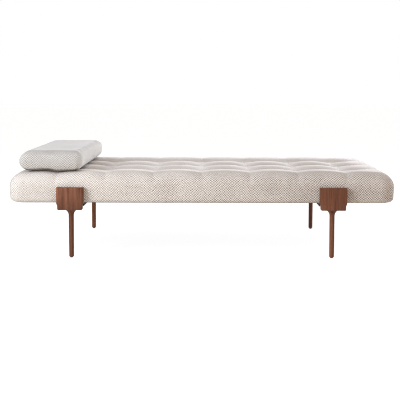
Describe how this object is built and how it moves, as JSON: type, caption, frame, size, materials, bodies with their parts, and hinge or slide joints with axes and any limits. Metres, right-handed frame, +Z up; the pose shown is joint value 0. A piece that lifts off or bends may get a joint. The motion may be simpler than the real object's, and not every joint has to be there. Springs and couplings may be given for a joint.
{
  "type": "daybed",
  "caption": "Upholstered daybed with a biscuit-tufted herringbone base, walnut paddle legs and a loose flat head cushion.",
  "frame": {"origin": "on the floor, under the middle of the base", "axes": "+X to the foot end, +Z up, so the front long side faces -Y"},
  "size_m": [2, 0.96, 0.5533],
  "materials": {
    "cover_cloth": "matte",
    "fibre": "matte",
    "foam": "matte",
    "cord": "matte",
    "toggle": "matte",
    "plywood": "matte",
    "beech": "matte",
    "walnut": "satin",
    "black_steel": "satin",
    "zinc_steel": "satin",
    "insert_brass": "satin",
    "nylon": "matte",
    "dust_cloth": "matte",
    "zip_nylon": "matte",
    "zip_metal": "satin"
  },
  "bodies": {
    "bed_base": {"mattress_cover": "cover_cloth", "fibre_wrap": "fibre", "foam_core": "foam", "tuft_cords": "cord", "tuft_toggles": "toggle", "deck_panel": "plywood", "deck_screws": "zinc_steel", "frame_dowels": "beech", "dust_cover": "dust_cloth", "dust_staples": "zinc_steel", "tab_bolts": "zinc_steel", "tab_washers": "zinc_steel", "block_bolts": "zinc_steel", "leg_inserts": "insert_brass", "crossbar_screws": "zinc_steel", "foot_glides": "nylon", "glide_pins": "zinc_steel", "front_rail": "beech", "front_head_leg": "walnut", "front_head_corner_block": "beech", "front_foot_leg": "walnut", "front_foot_corner_block": "beech", "rear_rail": "beech", "rear_head_leg": "walnut", "rear_head_corner_block": "beech", "rear_foot_leg": "walnut", "rear_foot_corner_block": "beech", "head_rail": "beech", "head_bearer": "beech", "head_middle_rail": "beech", "head_crossbar": "black_steel", "foot_rail": "beech", "foot_bearer": "beech", "foot_middle_rail": "beech", "foot_crossbar": "black_steel"},
    "head_cushion": {"cushion_cover": "cover_cloth", "cushion_core": "foam", "zip_chain": "zip_nylon"},
    "zipper": {"zip_slider": "zip_metal", "zip_pull": "zip_metal"}
  },
  "joints": [
    {"name": "cushion_lift", "type": "slide", "parent": "bed_base", "child": "head_cushion", "axis": [0, 0, 1], "range_m": [0, 0.3]},
    {"name": "zip_run", "type": "slide", "parent": "head_cushion", "child": "zipper", "axis": [0, -1, 0], "range_m": [0, 0.6]}
  ]
}
